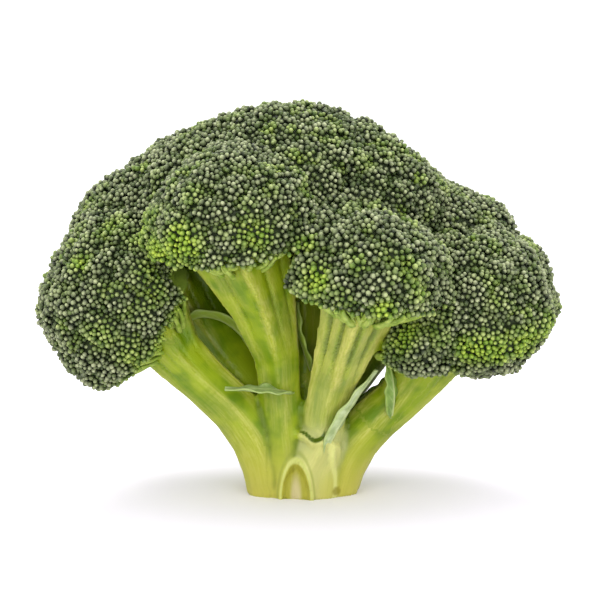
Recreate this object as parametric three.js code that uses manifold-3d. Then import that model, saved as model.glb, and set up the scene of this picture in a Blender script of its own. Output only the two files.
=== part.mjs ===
// A broccoli head standing on its cut stem: one branching stem, fourteen domed florets
// packed with buds, and the six small leaves left between the branches.
// Millimetres, +Z up. The origin is the centre of the cut face, and the front faces -Y.

import * as THREE from "three";
import { LoftGeometry } from "three/addons/geometries/LoftGeometry.js";
import { ConvexHull } from "three/addons/math/ConvexHull.js";
import { mergeVertices } from "three/addons/utils/BufferGeometryUtils.js";
import Module from "manifold-3d";

const wasm = await Module();
wasm.setup();

// Driving dimensions of the florets.
const CLEARANCE = 0.4; // between neighbouring pieces
const FORK = vec(0, 0, 24); // where the branches leave the trunk; most florets face away from it
const BUD_PITCH = 5.8; // buds are drawn about four times life size, to keep them few
const BUD_HEIGHT = 1.7;
const BUD_JITTER = 0.14; // share of the pitch by which a bud strays from its spiral
const BARE_PITCH = 7.5; // spacing of surface points where no buds grow
const BARE_GAP = 0.75; // least distance from a bud to a bare point, over the bare pitch
const PIT_SPAN = 1.8; // buds further apart than this have no pit between them, over the bud pitch
const DOME_RISE = 0.93; // height of a dome over its radius
const MERGE = 4.5; // how softly neighbouring domes run into each other
const MERGE_STEPS = 8;
const SPREAD_END_COS = -0.7; // cosine of the angle from its top below which a floret has no buds
const HIDDEN_SHARE = 0.74; // buds are left out where a flat side cuts a dome shorter than this
const EDGE_STEPS = 6;
const EDGE_ROOM = 0.62; // least distance from a bud to those along an edge, over the pitch
const CREASE = 0.8; // how softly a dome rounds off into a flat side
const LUMP_HEIGHT = 0.9; // uneven growth of a dome
const LUMP_WAVES = vec(5.1, 4.3, 6.7); // how many lumps there are along each axis
const GOLDEN_ANGLE = Math.PI * (3 - Math.sqrt(5));
const SEED = 7;

// Each floret: its centre, its radius, the depth of its flat underside below the centre over the
// radius, and the way it faces where that isn't straight away from the fork.
const FLORETS = {
  floret_left: { at: vec(-57, -13, 62.5), radius: 25.5, under: 0.5 },
  floret_left_shoulder: { at: vec(-48, 11, 77), radius: 26.5, under: 0.45 },
  floret_front_left: { at: vec(-21, -33, 87.5), radius: 24, under: 0.14, faces: vec(-0.15, -0.3, 0.94) },
  floret_front_right: { at: vec(19.5, -40, 70.5), radius: 22.5, under: 0.1, faces: vec(0.12, -0.22, 0.97) },
  floret_front_low: { at: vec(32.5, -27, 58.5), radius: 15.5, under: 0.5 },
  floret_right: { at: vec(56, -18, 62), radius: 21.5, under: 0.75 },
  floret_right_low: { at: vec(60, 9, 62), radius: 21, under: 0.4 },
  floret_right_shoulder: { at: vec(45, 11, 75), radius: 23, under: 0.5 },
  floret_top: { at: vec(-4, -2, 94.5), radius: 31, under: 0.4 },
  floret_top_left: { at: vec(-30, 3, 91), radius: 26, under: 0.5 },
  floret_top_right: { at: vec(17, -3, 89.5), radius: 27, under: 0.4 },
  floret_back_left: { at: vec(-38, 36, 73), radius: 27.5, under: 0.35 },
  floret_back: { at: vec(0, 42, 79), radius: 30, under: 0.3 },
  floret_back_right: { at: vec(36, 36, 73), radius: 27, under: 0.35 },
};

// Driving dimensions of the stem.
const FOOT_DEPTH = -2; // the branches start below the cut and are trimmed to it
const BRANCH_SIDES = 15;
const BRANCH_RIBS = 5;
const RINGS_PER_SPAN = 1.5;
const RIB_SHARE = { foot: 0.035, top: 0.17 }; // height of the ribs over the branch's radius
const BRANCH_END = 0.6; // how far below its floret's centre a branch ends, over the underside's depth
const SLAB = { width: 200, depth: 40 }; // what the stem is trimmed with at the cut

// Each branch: the floret it carries, the points of its centre line up from the cut, and its radii,
// of which the last is the one at the floret.
const BRANCHES = [
  {
    to: "floret_left",
    path: [[-9, -5, FOOT_DEPTH], [-12.5, -7, 14], [-21, -10, 28], [-35, -12, 41.5]],
    radii: [8, 8.2, 7.8, 7.4, 10.5],
  },
  {
    to: "floret_left_shoulder",
    path: [[-9, 4, FOOT_DEPTH], [-10.5, 3, 16], [-16.5, 4, 33], [-28, 8, 47.5]],
    radii: [7.5, 7.8, 9, 8.6, 11.5],
  },
  {
    to: "floret_front_left",
    path: [[-4, -8, FOOT_DEPTH], [-5.5, -9.5, 16], [-7, -12, 34], [-9, -17, 52]],
    radii: [7.5, 7, 6.5, 7.2, 15],
  },
  {
    to: "floret_front_right",
    path: [[5, -8, FOOT_DEPTH], [6, -10.5, 15], [7.5, -13.5, 29], [11, -19, 43]],
    radii: [7.5, 6.8, 6.6, 7.4, 11.5],
  },
  {
    to: "floret_front_low",
    path: [[23, -7, 24.5], [30, -11, 34], [34, -17, 44]],
    radii: [5, 5.5, 5.5, 7.5],
  },
  {
    to: "floret_right",
    path: [[9, -4, FOOT_DEPTH], [13, -5, 12], [23, -7, 24.5], [35, -10, 36]],
    radii: [8, 8, 7.6, 7.4, 11],
  },
  {
    to: "floret_right_low",
    path: [[10, 1, FOOT_DEPTH], [15, 1, 12], [27, 2, 26], [42, 4, 38]],
    radii: [7.5, 7.4, 6.6, 6, 8.5],
  },
  {
    to: "floret_right_shoulder",
    path: [[8, 5, FOOT_DEPTH], [9, 6, 16], [15, 8, 33], [27, 10, 49]],
    radii: [7.5, 7, 6, 6, 9],
  },
  {
    to: "floret_top",
    path: [[0, 0, FOOT_DEPTH], [0, 0, 20], [1, 2, 40], [1, 1, 60]],
    radii: [16, 14, 8.5, 8.5, 12],
  },
  {
    to: "floret_top_left",
    path: [[0, 2, 30], [-5, 3, 46], [-14, 3, 65]],
    radii: [5.5, 5.5, 5.5, 8],
  },
  {
    to: "floret_top_right",
    path: [[1, 3, 32], [6, 4, 50], [13, 4, 70]],
    radii: [5.5, 5.5, 5.5, 8],
  },
  {
    to: "floret_back_left",
    path: [[-7, 8, FOOT_DEPTH], [-11, 11, 16], [-20, 18, 32], [-32, 27, 48]],
    radii: [7.5, 7, 6.4, 6.4, 9],
  },
  {
    to: "floret_back",
    path: [[0, 9, FOOT_DEPTH], [0, 12, 18], [0, 19, 38], [0, 30, 56]],
    radii: [7.5, 7, 6.4, 6.8, 9.5],
  },
  {
    to: "floret_back_right",
    path: [[6, 8, FOOT_DEPTH], [8, 12, 18], [12, 20, 36], [22, 29, 53]],
    radii: [7.5, 7, 6, 6.4, 9],
  },
];

// The stub of a leaf stalk that was cut off low on the front, and the arched scar below it.
const STUB = { path: [[1, -8, FOOT_DEPTH], [2, -9.5, 8], [6.5, -13, 18.5]], radii: [9, 8.4, 6.3] };
const SCAR = { middle: -1.9, halfWidth: 4.9, height: 12.6 };
const SCAR_RIM = 1.1;
const SCAR_POINTS = 13;
const SCAR_STEPS = 20;
const SCAR_SIDES = 3; // in each quarter of the rim's round
const LOWEST_SLICE = 0.5;

// Driving dimensions of the leaves.
const LEAF_THICKNESS = 0.9;
const LEAF_SPANS = 7; // along a leaf
const LEAF_COLUMNS = 5; // points across a leaf
const LEAF_TIP_WIDTH = 0.9;

// Each leaf: its midrib from the branch out to its tip, its full width, the way its upper face looks,
// how deeply it is cupped and how high its edge waves.
const LEAVES = {
  leaf_front_low: {
    rib: [[6.8, -17.4, 15], [11, -19.4, 23.5], [16.8, -20.2, 33], [23.5, -21, 42]],
    width: 6.5, faces: [-0.75, 0.45, 0.5], cup: 0.9, wave: 0.35,
  },
  leaf_front_cross: {
    rib: [[-3, -16, 34], [-8, -21, 35.4], [-15, -23, 36.2], [-24, -22, 36]],
    width: 6.5, faces: [0, -0.25, 1], cup: 0.7, wave: 0.45,
  },
  leaf_middle: {
    rib: [[3, -7, 40], [0.5, -12, 48], [-1.5, -15, 55], [-1.5, -17, 63]],
    width: 5.5, faces: [0.95, 0.2, 0.3], cup: 0.9, wave: 0.3,
  },
  leaf_left_inner: {
    rib: [[-15, 0, 46], [-23, -1, 54], [-31, -3, 57], [-38.5, -4, 55]],
    width: 7, faces: [0.25, 0.5, 0.9], cup: 1.1, wave: 0.4,
  },
  leaf_right: {
    rib: [[28, -14, 26], [28.5, -19, 33], [28, -20.5, 39], [26.5, -20, 46]],
    width: 6, faces: [-0.8, 0.6, 0.1], cup: 0.8, wave: 0.3,
  },
  leaf_right_inner: {
    rib: [[15, 3, 26], [20, -1, 30.5], [25, -3, 34], [30, -4, 39]],
    width: 5, faces: [-0.5, -0.2, 0.9], cup: 0.8, wave: 0.3,
  },
};

const COLOURS = { bud: 0x5d6b42, stalk: 0xa9bf45, leaf: 0x6f9a3a };

function vec(x, y, z) {
  return new THREE.Vector3(x, y, z);
}

function curve(points) {
  return new THREE.CatmullRomCurve3(points.map((p) => vec(...p)), false, "centripetal");
}

// A repeatable run of numbers between 0 and 1.
function makeDraw(seed) {
  let state = seed;
  return () => {
    state = (Math.imul(state, 1664525) + 1013904223) >>> 0;
    return state / 2 ** 32;
  };
}

// A closed geometry as a solid.
function solid(geometry) {
  const bare = new THREE.BufferGeometry().setAttribute("position", geometry.getAttribute("position"));
  bare.setIndex(geometry.index);
  const merged = mergeVertices(bare, 1e-4);
  return new wasm.Manifold(
    new wasm.Mesh({
      numProp: 3,
      vertProperties: new Float32Array(merged.attributes.position.array),
      triVerts: new Uint32Array(merged.index.array),
    }),
  );
}

// A solid as a geometry, without any crumbs that a cut has left loose.
function geometryOf(shape) {
  const body = shape.decompose().sort((a, b) => b.volume() - a.volume())[0];
  const mesh = body.getMesh();
  const geometry = new THREE.BufferGeometry();
  geometry.setAttribute("position", new THREE.BufferAttribute(mesh.vertProperties, 3));
  geometry.setIndex(new THREE.BufferAttribute(mesh.triVerts, 1));
  geometry.computeVertexNormals();
  return geometry;
}

function join(shapes) {
  return shapes.reduce((whole, shape) => whole.add(shape));
}

// Florets.

for (const floret of Object.values(FLORETS)) {
  floret.axis = (floret.faces ?? floret.at.clone().sub(FORK)).clone().normalize();
  floret.flats = Object.values(FLORETS)
    .filter((other) => other !== floret)
    .map((other) => sharedPlane(floret, other));
  floret.flats.push({ normal: floret.axis.clone().negate(), distance: floret.under * floret.radius });
}

// The plane between two florets, seen from the first: its normal and its distance.
function sharedPlane(floret, other) {
  const normal = other.at.clone().sub(floret.at);
  const apart = normal.length();
  normal.normalize();
  const distance = (apart ** 2 + floret.radius ** 2 - other.radius ** 2) / (2 * apart);
  return { normal, distance: distance - CLEARANCE / 2 };
}

// How far a point lies outside a floret's own dome, with the dome's flattened top drawn up to round.
function beyondDome(floret, point) {
  const offset = point.clone().sub(floret.at);
  const top = offset.dot(floret.axis);
  return Math.sqrt(offset.lengthSq() + (DOME_RISE ** -2 - 1) * top ** 2) - floret.radius;
}

// Distance from a floret's centre along a unit direction to the crown, in which the domes run softly
// into each other.
function domeRadius(floret, way) {
  const top = way.dot(floret.axis);
  let radius = floret.radius / Math.sqrt(1 - top ** 2 + (top / DOME_RISE) ** 2);
  for (let step = 0; step < MERGE_STEPS; step++) {
    const point = floret.at.clone().addScaledVector(way, radius);
    const depths = Object.values(FLORETS).map((other) => Math.exp(-beyondDome(other, point) / MERGE));
    radius += MERGE * Math.log(depths.reduce((total, depth) => total + depth));
  }
  const { x, y, z } = way.clone().multiply(LUMP_WAVES).add(floret.at);
  const lumps = Math.sin(x) * Math.sin(y) + 0.7 * Math.sin(z - 3 * way.x);
  return radius + LUMP_HEIGHT * lumps;
}

// The flat side that is met first along a unit direction, the underside or a neighbour's, and how
// far away it is.
function nearestFlat(floret, way) {
  const reaches = floret.flats.map((flat) => {
    const slope = flat.normal.dot(way);
    return { flat, reach: slope > 1e-3 ? flat.distance / slope : Infinity };
  });
  return reaches.reduce((nearest, next) => (next.reach < nearest.reach ? next : nearest));
}

function flatReach(floret, way) {
  return nearestFlat(floret, way).reach;
}

// Directions a pitch apart along the edges where the flat sides of a floret cut its dome.
function edgeWays(floret) {
  const count = Math.round((2 * Math.PI * floret.radius) / BUD_PITCH);
  return floret.flats.flatMap((flat) => {
    const across = vec(flat.normal.z, flat.normal.x, flat.normal.y).cross(flat.normal).normalize();
    const spokes = Array.from({ length: count }, (_, i) =>
      across.clone().applyAxisAngle(flat.normal, (2 * Math.PI * i) / count),
    );
    return spokes
      .map((spoke) => {
        let way = spoke;
        for (let step = 0; step < EDGE_STEPS; step++) {
          const cos = Math.min(flat.distance / domeRadius(floret, way), 1);
          way = flat.normal.clone().multiplyScalar(cos).addScaledVector(spoke, Math.sqrt(1 - cos ** 2));
        }
        return way;
      })
      .filter((way) => nearestFlat(floret, way).flat === flat && way.dot(flat.normal) < 1);
  });
}

// The dome, rounded off into its flat sides.
function floretRadius(floret, way) {
  const dome = domeRadius(floret, way);
  const reach = flatReach(floret, way);
  const nearer = Math.min(dome, reach);
  const blend = Math.exp((nearer - dome) / CREASE) + Math.exp((nearer - reach) / CREASE);
  return nearer - CREASE * Math.log(blend);
}

// Directions in a golden spiral, from the top of a floret down to a cosine.
function spiral(floret, pitch, endCos) {
  const area = 2 * Math.PI * floret.radius ** 2 * (1 - endCos);
  const count = Math.round(area / (pitch ** 2 * Math.sin(Math.PI / 3)));
  const turn = new THREE.Quaternion().setFromUnitVectors(vec(0, 0, 1), floret.axis);
  return Array.from({ length: count }, (_, i) => {
    const cos = 1 - ((i + 0.5) / count) * (1 - endCos);
    const sin = Math.sqrt(1 - cos ** 2);
    const angle = i * GOLDEN_ANGLE;
    return vec(sin * Math.cos(angle), sin * Math.sin(angle), cos).applyQuaternion(turn);
  });
}

// The triangles, as triples of the given unit directions, that wrap the sphere through all of them.
function wrap(directions) {
  const faces = new ConvexHull().setFromPoints(directions).faces;
  return faces.map(({ edge }) => [edge, edge.next, edge.next.next].map((side) => side.head().point));
}

// The skin of a floret as triples of directions, with the set of those that are buds: a peak for
// each bud, a pit between each three, and wider triangles where no buds grow.
function floretSkin(floret, draw) {
  const stray = (BUD_PITCH * BUD_JITTER) / floret.radius;
  const strayed = (way) => {
    const shift = vec(draw() - 0.5, draw() - 0.5, draw() - 0.5).multiplyScalar(2 * stray);
    return way.add(shift).normalize();
  };
  const edges = edgeWays(floret);
  const edgeRoom = Math.cos((EDGE_ROOM * BUD_PITCH) / floret.radius);
  const buds = spiral(floret, BUD_PITCH, SPREAD_END_COS)
    .map(strayed)
    .filter((way) => flatReach(floret, way) > HIDDEN_SHARE * domeRadius(floret, way))
    .filter((way) => edges.every((edge) => edge.dot(way) < edgeRoom))
    .concat(edges);
  const room = Math.cos((BARE_GAP * BARE_PITCH) / floret.radius);
  const bare = spiral(floret, BARE_PITCH, -1).filter((way) => buds.every((bud) => bud.dot(way) < room));
  const isBud = new Set(buds);
  const reach = Math.cos((PIT_SPAN * BUD_PITCH) / floret.radius);
  const pits = wrap([...buds, ...bare])
    .filter((corners) => corners.every((way, i) => isBud.has(way) && way.dot(corners[(i + 1) % 3]) > reach))
    .map(([a, b, c]) => a.clone().add(b).add(c).normalize());
  return { corners: wrap([...buds, ...pits, ...bare]).flat(), isBud };
}

// A floret, with its whole skin moved out by grow.
function floretGeometry(floret, grow) {
  const points = floret.skin.corners.map((way) => {
    const skin = floretRadius(floret, way);
    const height = floret.skin.isBud.has(way) ? Math.min(skin + BUD_HEIGHT, flatReach(floret, way)) : skin;
    return floret.at.clone().addScaledVector(way, height + grow);
  });
  return new THREE.BufferGeometry().setFromPoints(points);
}

// Stem.

// A value between the entries of a list, at a share from 0 to 1 of its length.
function along(values, share) {
  const place = share * (values.length - 1);
  const i = Math.min(Math.floor(place), values.length - 2);
  return THREE.MathUtils.lerp(values[i], values[i + 1], place - i);
}

// A round, ribbed stalk, with every side moved out by grow.
function stalk(path, radii, grow) {
  const line = curve(path);
  const rings = Math.round(RINGS_PER_SPAN * (path.length - 1));
  const sections = Array.from({ length: rings + 1 }, (_, i) => {
    const share = i / rings;
    const centre = line.getPoint(share);
    const forward = line.getTangent(share);
    const out = vec(0, -1, 0).addScaledVector(forward, forward.y).normalize();
    const side = forward.clone().cross(out);
    const rib = THREE.MathUtils.lerp(RIB_SHARE.foot, RIB_SHARE.top, share ** 2);
    return Array.from({ length: BRANCH_SIDES }, (_, j) => {
      const angle = (2 * Math.PI * j) / BRANCH_SIDES;
      const radius = along(radii, share) * (1 + rib * Math.cos(BRANCH_RIBS * angle)) + grow;
      const point = centre.clone().addScaledVector(out, radius * Math.cos(angle));
      return point.addScaledVector(side, radius * Math.sin(angle));
    });
  });
  return solid(new LoftGeometry(sections, { capStart: true, capEnd: true }));
}

function branch({ to, path, radii }, grow) {
  const floret = FLORETS[to];
  const end = floret.at.clone().addScaledVector(floret.axis, -BRANCH_END * floret.under * floret.radius);
  return stalk([...path, end.toArray()], radii, grow);
}

// How far forward a body reaches at a height and a distance from its middle plane.
function frontOf(body, x, z) {
  let front = Infinity;
  for (const outline of body.slice(Math.max(z, LOWEST_SLICE)).toPolygons()) {
    outline.forEach(([endX, endY], i) => {
      const [startX, startY] = outline.at(i - 1);
      if ((startX - x) * (endX - x) > 0 || startX === endX) return;
      front = Math.min(front, THREE.MathUtils.mapLinear(x, startX, endX, startY, endY));
    });
  }
  return front;
}

// The raised rim of the leaf scar, an arch on the front of the stem that rises from the cut.
function scarRim(body) {
  const points = Array.from({ length: SCAR_POINTS }, (_, i) => {
    const turn = Math.PI * (i / (SCAR_POINTS - 1));
    const x = SCAR.middle - SCAR.halfWidth * Math.cos(turn);
    const z = FOOT_DEPTH + (SCAR.height - FOOT_DEPTH) * Math.sin(turn);
    return vec(x, frontOf(body, x, z), z);
  });
  const hoop = new THREE.Shape().absellipse(0, 0, SCAR_RIM, SCAR_RIM, 0, 2 * Math.PI);
  const extrudePath = new THREE.CatmullRomCurve3(points);
  const options = { extrudePath, steps: SCAR_STEPS, curveSegments: SCAR_SIDES };
  return solid(new THREE.ExtrudeGeometry(hoop, options));
}

// The whole stem above the cut, with every side moved out by grow.
function stemSolid(grow) {
  const below = new THREE.BoxGeometry(SLAB.width, SLAB.width, SLAB.depth).translate(0, 0, -SLAB.depth / 2);
  const branches = BRANCHES.map((entry) => branch(entry, grow));
  const body = join([...branches, stalk(STUB.path, STUB.radii, grow)]);
  return body.add(scarRim(body)).subtract(solid(below));
}

// Leaves.

// A thin arched blade with a waved edge, as wide at the middle as stated and narrow at both ends.
function blade({ rib, width, faces, cup, wave }) {
  const line = curve(rib);
  const sections = Array.from({ length: LEAF_SPANS + 1 }, (_, i) => {
    const share = i / LEAF_SPANS;
    const centre = line.getPoint(share);
    const forward = line.getTangent(share);
    const up = vec(...faces).addScaledVector(forward, -vec(...faces).dot(forward)).normalize();
    const side = up.clone().cross(forward);
    const half = (LEAF_TIP_WIDTH + (width - LEAF_TIP_WIDTH) * Math.sin(Math.PI * share ** 0.8) ** 0.7) / 2;
    const face = (lift) =>
      Array.from({ length: LEAF_COLUMNS }, (_, j) => {
        const across = (2 * j) / (LEAF_COLUMNS - 1) - 1;
        const ripple = wave * Math.sin(2.6 * Math.PI * share + across) * across ** 2;
        const height = cup * across ** 2 * Math.sin(Math.PI * share) + ripple + lift;
        return centre.clone().addScaledVector(side, half * across).addScaledVector(up, height);
      });
    return [...face(-LEAF_THICKNESS / 2), ...face(LEAF_THICKNESS / 2).reverse()];
  });
  return solid(new LoftGeometry(sections, { capStart: true, capEnd: true }));
}

// The finished object.

const root = new THREE.Group();

function place(name, geometry, color, roughness) {
  const mesh = new THREE.Mesh(geometry, new THREE.MeshStandardMaterial({ color, roughness, metalness: 0 }));
  mesh.name = name;
  root.add(mesh);
}

const draw = makeDraw(SEED);
for (const [name, floret] of Object.entries(FLORETS)) {
  floret.skin = floretSkin(floret, draw);
  place(name, floretGeometry(floret, 0), COLOURS.bud, 0.7);
}

const grownFlorets = Object.values(FLORETS).map((floret) => floretGeometry(floret, 2 * CLEARANCE));
const rooms = join(grownFlorets.map(solid));
place("stem", geometryOf(stemSolid(0).subtract(rooms)), COLOURS.stalk, 0.45);

const stemRoom = stemSolid(CLEARANCE);
for (const [name, leaf] of Object.entries(LEAVES)) {
  place(name, geometryOf(blade(leaf).subtract(stemRoom).subtract(rooms)), COLOURS.leaf, 0.5);
}

export default root;
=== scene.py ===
# A broccoli head standing on its cut stem: thousands of waxy buds on fourteen domed florets,
# the fleshy branches that carry them, and the small leaves left between the branches.
# Sizes are in millimetres and angles in radians, and what Blender gets is turned into metres.

import math

import bmesh
import bpy
import numpy as np
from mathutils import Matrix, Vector


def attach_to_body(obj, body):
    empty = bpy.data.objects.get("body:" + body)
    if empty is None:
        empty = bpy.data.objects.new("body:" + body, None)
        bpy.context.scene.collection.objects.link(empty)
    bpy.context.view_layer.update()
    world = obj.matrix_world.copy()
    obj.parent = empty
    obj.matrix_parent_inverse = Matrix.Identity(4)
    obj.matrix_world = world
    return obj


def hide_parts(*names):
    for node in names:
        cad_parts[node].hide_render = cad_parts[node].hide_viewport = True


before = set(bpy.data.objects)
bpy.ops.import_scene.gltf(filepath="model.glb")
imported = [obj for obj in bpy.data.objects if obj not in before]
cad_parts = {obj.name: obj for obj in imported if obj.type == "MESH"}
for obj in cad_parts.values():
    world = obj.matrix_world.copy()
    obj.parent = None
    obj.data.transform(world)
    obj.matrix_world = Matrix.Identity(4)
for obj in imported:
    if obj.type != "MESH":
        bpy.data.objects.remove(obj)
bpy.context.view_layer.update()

MM = 0.001
SEED = 11
FAR = 1e3  # stands for a distance that nothing reaches
FLAT = 1e-3  # a slope below this counts as level
ASLANT = [0.3, 0.8, 0.5]  # a way that no floret faces, from which ways across its axis are found

# The florets, as the solids have them.
FORK = np.array([0.0, 0.0, 24.0])  # where the branches part, which the florets face away from
DOME_RISE = 0.93  # height of a dome over its radius
MERGE = 4.5  # how softly neighbouring domes run into each other
MERGE_STEPS = 8
LUMP_HEIGHT = 0.9  # the low waves of a dome
LUMP_WAVES = np.array([5.1, 4.3, 6.7])
NEIGHBOUR_GAP = 0.1  # from a dome's flat side to the plane that it shares with its neighbour
# Each floret's centre, radius, and the depth of its underside over the radius.
FLORETS = {
    "floret_left": ((-57, -13, 62.5), 25.5, 0.5),
    "floret_left_shoulder": ((-48, 11, 77), 26.5, 0.45),
    "floret_front_left": ((-21, -33, 87.5), 24, 0.14),
    "floret_front_right": ((19.5, -40, 70.5), 22.5, 0.1),
    "floret_front_low": ((32.5, -27, 58.5), 15.5, 0.5),
    "floret_right": ((56, -18, 62), 21.5, 0.75),
    "floret_right_low": ((60, 9, 62), 21, 0.4),
    "floret_right_shoulder": ((45, 11, 75), 23, 0.5),
    "floret_top": ((-4, -2, 94.5), 31, 0.4),
    "floret_top_left": ((-30, 3, 91), 26, 0.5),
    "floret_top_right": ((17, -3, 89.5), 27, 0.4),
    "floret_back_left": ((-38, 36, 73), 27.5, 0.35),
    "floret_back": ((0, 42, 79), 30, 0.3),
    "floret_back_right": ((36, 36, 73), 27, 0.35),
}
# The way a floret faces, where that isn't straight away from the fork.
FACES = {"floret_front_left": (-0.15, -0.3, 0.94), "floret_front_right": (0.12, -0.22, 0.97)}

# Buds and what carries them.
CREASE = 0.6  # how softly a dome rounds off into its flat sides
BUD_SPACING = 1.34  # least distance between two buds
BUD_RADIUS = 0.88
BUD_SIZES = {  # size of a floret's buds over the usual one
    "floret_front_right": 1.08,
    "floret_back_left": 1.06,
    "floret_back": 1.06,
    "floret_back_right": 1.06,
}
BUD_LENGTH = 1.2  # half a bud's length over its radius
BUD_STRAY = 0.35  # how far a bud may stand above or below the skin
BUD_LEAN = 0.45  # how far a bud may lean over
BUD_GROWTH = (0.78, 1.17)  # the smallest and the largest bud over the usual one
BUD_DENSITY = 5e6  # points tried on a square metre, before those that are too near are dropped
BUD_SIDES = 6
BUD_RINGS = [(0.8, -0.5), (1.0, 0.15), (0.62, 0.78)]  # radius and height of each ring of a bud
BUD_FOOT, BUD_POINT = -0.95, 1.0  # height of a bud's lowest and highest point
CLUSTER_PITCH = 11.0  # buds grow in clusters, and these in smaller knots
CLUSTER_HEIGHT = 2.6
CLUSTER_FURROW = 1.8
CLUSTER_STRAY = 0.22  # how far a clump strays from an even spread, over its pitch
ROW_SHARE = 0.866  # distance of the rows of evenly packed clumps over their pitch
KNOT_PITCH = 4.8
KNOT_HEIGHT = 1.2
KNOT_FURROW = 0.8
RELIEF_REST = 0.6  # share of the clusters' height that lies below the plain dome
CORE_DEPTH = 0.7  # how far the dark skin under the buds lies below them
RIM_SHARE = 0.97  # buds wrap the rim until the underside cuts the dome this short
RIM_START, RIM_END = 0.9, 1.45  # underside's reach over the dome's, where the young rim ends
RIM_YOUTH = 0.8
ODD_YOUTH = 0.4  # how young the luckiest odd clump is
PATCH_FULL, PATCH_END = 0.3, 1.35  # where a young patch starts to fade and ends, over its radius
HIDDEN_DEPTH = 1.2  # no buds grow deeper than this inside a neighbour
SKIN_LEVELS, CORE_LEVELS = 6, 4  # how finely the balls that become skins and cores are cut
STRAY_SEED, GROWTH_SEED, TONE_SEED, STALKLET_SEED, FORK_SEED = 3, 5, 9, 50, 70
STALKLETS = {  # thin stalks under each floret that the front view looks into
    "floret_left": 90,
    "floret_front_left": 90,
    "floret_front_right": 90,
    "floret_front_low": 40,
    "floret_right": 70,
}
OTHER_STALKLETS = 36
STALKLET_RADIUS = 0.6
STALKLET_STEPS = 5
STALKLET_SIDES = 5
STALKLET_STRAY = 0.8  # how far the middle of a stalklet strays
STALKLET_BOW = 0.06  # how far it bows outwards, over its reach
STALKLET_TURN = 0.5  # how far it may stand from its place round the branch
STALKLET_ROOTS = (3, 8)  # how far below the underside it may start
STALKLET_GROWTH = (0.7, 1.5)  # the thinnest and the thickest over the usual one

# Where younger, yellower buds show: middle and radius of each patch, and how young it is.
YOUNG_PATCHES = [
    ((-50.7, -33.4, 88.1), 8, 1.0),
    ((-43, -43.5, 78), 10, 1.0),
    ((-58.5, -24.4, 89.7), 6, 0.7),
    ((-45.7, -40.3, 91.6), 5, 0.6),
    ((-72.5, -20.4, 83.2), 4, 0.6),
    ((-67.4, -28.7, 75.5), 5, 0.8),
    ((-59.4, -40, 69), 4, 0.5),
    ((-61.4, -36.3, 54.9), 6, 0.5),
    ((-51.7, -37.3, 46.7), 6, 0.7),
    ((-33, -52.7, 99.8), 5, 0.5),
    ((-36, -54, 83.6), 8, 1.0),
    ((-13.8, -57.4, 86.9), 7, 0.6),
    ((0.8, -53.3, 84.2), 4, 0.8),
    ((3.5, -57.2, 73.7), 6, 0.9),
    ((31.5, -58.3, 80.2), 5, 0.5),
    ((36, -58.9, 70.9), 6, 0.7),
    ((24.1, -63, 64.5), 5, 0.9),
    ((31.2, -37.5, 54.1), 7, 0.9),
    ((52, -39.5, 50), 7, 1.0),
    ((59.8, -38.8, 49), 8, 1.0),
    ((69.3, -33, 51), 8, 1.0),
    ((75.5, -28.6, 56), 6, 0.9),
    ((59.5, -41.5, 66.1), 4, 0.5),
    ((57.5, -9.8, 89.6), 4, 0.4),
    ((19.3, -24.5, 106), 4, 0.4),
    ((-60, 40, 70), 6, 0.7),
    ((-20, 62, 62), 8, 0.8),
    ((10, 70, 85), 5, 0.5),
    ((48, 52, 70), 7, 0.8),
]

# The branches, as the solids have them: the points of each centre line, up from the cut.
BRANCHES = {
    "floret_left": [(-9, -5, -2), (-12.5, -7, 14), (-21, -10, 28), (-35, -12, 41.5)],
    "floret_left_shoulder": [(-9, 4, -2), (-10.5, 3, 16), (-16.5, 4, 33), (-28, 8, 47.5)],
    "floret_front_left": [(-4, -8, -2), (-5.5, -9.5, 16), (-7, -12, 34), (-9, -17, 52)],
    "floret_front_right": [(5, -8, -2), (6, -10.5, 15), (7.5, -13.5, 29), (11, -19, 43)],
    "floret_front_low": [(23, -7, 24.5), (30, -11, 34), (34, -17, 44)],
    "floret_right": [(9, -4, -2), (13, -5, 12), (23, -7, 24.5), (35, -10, 36)],
    "floret_right_low": [(10, 1, -2), (15, 1, 12), (27, 2, 26), (42, 4, 38)],
    "floret_right_shoulder": [(8, 5, -2), (9, 6, 16), (15, 8, 33), (27, 10, 49)],
    "floret_top": [(0, 0, -2), (0, 0, 20), (1, 2, 40), (1, 1, 60)],
    "floret_top_left": [(0, 2, 30), (-5, 3, 46), (-14, 3, 65)],
    "floret_top_right": [(1, 3, 32), (6, 4, 50), (13, 4, 70)],
    "floret_back_left": [(-7, 8, -2), (-11, 11, 16), (-20, 18, 32), (-32, 27, 48)],
    "floret_back": [(0, 9, -2), (0, 12, 18), (0, 19, 38), (0, 30, 56)],
    "floret_back_right": [(6, 8, -2), (8, 12, 18), (12, 20, 36), (22, 29, 53)],
}
BRANCH_END = 0.6  # how far below its floret's centre a branch ends, over the underside's depth
BRANCH_STEPS = 48

# Radius of each branch where it meets its floret.
BRANCH_TOPS = {
    "floret_left": 10.5,
    "floret_left_shoulder": 11.5,
    "floret_front_left": 15,
    "floret_front_right": 11.5,
    "floret_front_low": 7.5,
    "floret_right": 11,
    "floret_right_low": 8.5,
    "floret_right_shoulder": 9,
    "floret_top": 12,
    "floret_top_left": 8,
    "floret_top_right": 8,
    "floret_back_left": 9,
    "floret_back": 9.5,
    "floret_back_right": 9,
}

# How pale and fibrous each branch is, where it differs from the rest.
PALE_BRANCHES = {
    "floret_left_shoulder": 0.0,
    "floret_front_right": 0.6,
    "floret_right": 0.3,
    "floret_left": 0.25,
    "floret_front_left": 0.3,
    "stub": 0.8,
}
OTHER_PALENESS = 0.2

# The stub of the cut leaf stalk: its middle line, and how much nearer than a branch it counts.
STUB = [(1, -8, -2), (2, -9.5, 8), (6.5, -13, 18.5)]
STUB_LEAD = 0.8
STUB_STEPS = 24
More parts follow.
